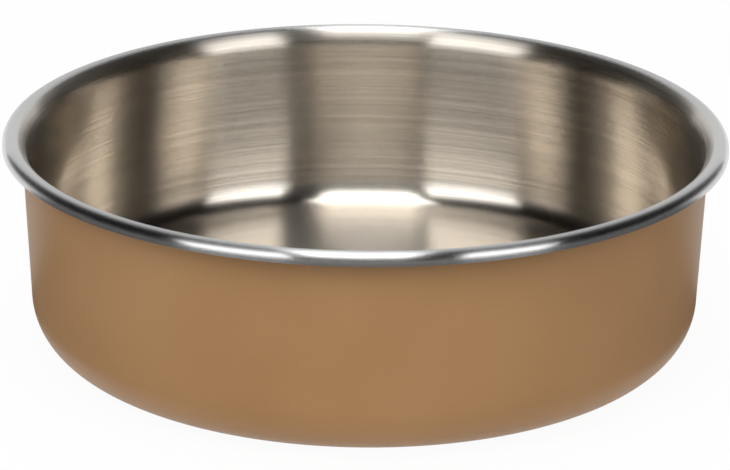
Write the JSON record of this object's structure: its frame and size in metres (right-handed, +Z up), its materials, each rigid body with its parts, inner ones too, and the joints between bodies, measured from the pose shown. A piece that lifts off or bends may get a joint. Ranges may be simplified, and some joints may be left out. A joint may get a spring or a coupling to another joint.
{
  "type": "pet food bowl",
  "caption": "Round steep-walled pet bowl: a brushed steel bowl with a rolled rim, seated in a satin brown moulded shell with a non-slip ring under its foot, for food or water on the floor or in a stand.",
  "frame": {"origin": "on the bowl's axis, on the surface that it stands on, which is the underside of the non-slip ring", "axes": "+Z up along the bowl's axis of revolution; X and Y are free, and the picture looks along +Y with +X to the right"},
  "size_m": [0.2, 0.2, 0.062],
  "materials": {
    "brushed_steel": "satin",
    "brown_shell": "satin",
    "black_rubber": "matte"
  },
  "bodies": {
    "root": {"steel_bowl": "brushed_steel", "outer_shell": "brown_shell", "non_slip_ring": "black_rubber"}
  },
  "joints": []
}
